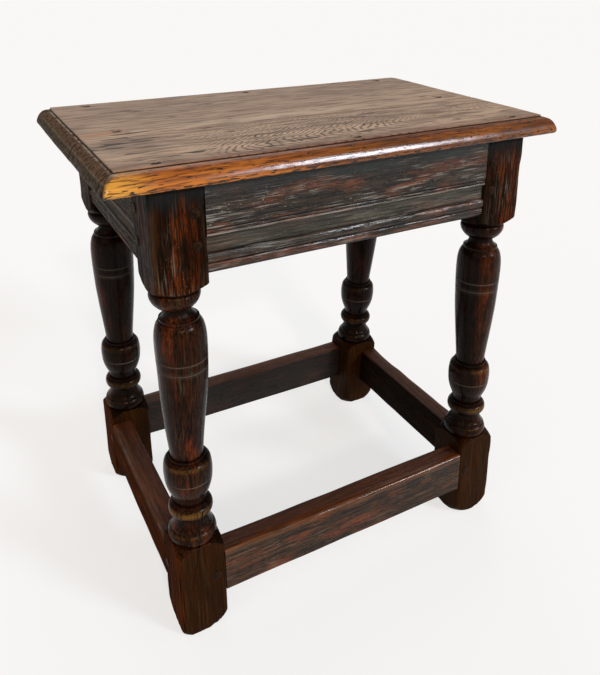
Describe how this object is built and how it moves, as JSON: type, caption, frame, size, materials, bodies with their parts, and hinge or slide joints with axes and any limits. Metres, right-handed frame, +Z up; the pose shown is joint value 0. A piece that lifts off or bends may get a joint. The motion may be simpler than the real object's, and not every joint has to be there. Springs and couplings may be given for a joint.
{
  "type": "joint stool",
  "caption": "Joined oak stool with a moulded plank seat, turned baluster legs, run-moulded aprons and low stretchers, all mortised, tenoned and pegged",
  "frame": {"origin": "on the floor under the middle of the seat", "axes": "+X along the long side of the seat to the right, +Y from the front to the back, +Z up"},
  "size_m": [0.466, 0.297, 0.48],
  "materials": {
    "seat_oak": "planed oak, worn and waxed, weathered mid brown",
    "frame_oak": "old dark waxed oak, glossy on the turned work",
    "peg_oak": "riven oak, dark end grain"
  },
  "bodies": {
    "root": {"seat_plank_front": "seat_oak", "seat_plank_back": "seat_oak", "leg_front_right": "frame_oak", "leg_front_left": "frame_oak", "leg_back_left": "frame_oak", "leg_back_right": "frame_oak", "apron_front": "frame_oak", "apron_back": "frame_oak", "apron_right": "frame_oak", "apron_left": "frame_oak", "stretcher_front": "frame_oak", "stretcher_back": "frame_oak", "stretcher_right": "frame_oak", "stretcher_left": "frame_oak", "seat_pegs": "peg_oak", "apron_front_pegs": "peg_oak", "apron_back_pegs": "peg_oak", "apron_right_pegs": "peg_oak", "apron_left_pegs": "peg_oak", "stretcher_front_pegs": "peg_oak", "stretcher_back_pegs": "peg_oak", "stretcher_right_pegs": "peg_oak", "stretcher_left_pegs": "peg_oak"}
  },
  "joints": []
}
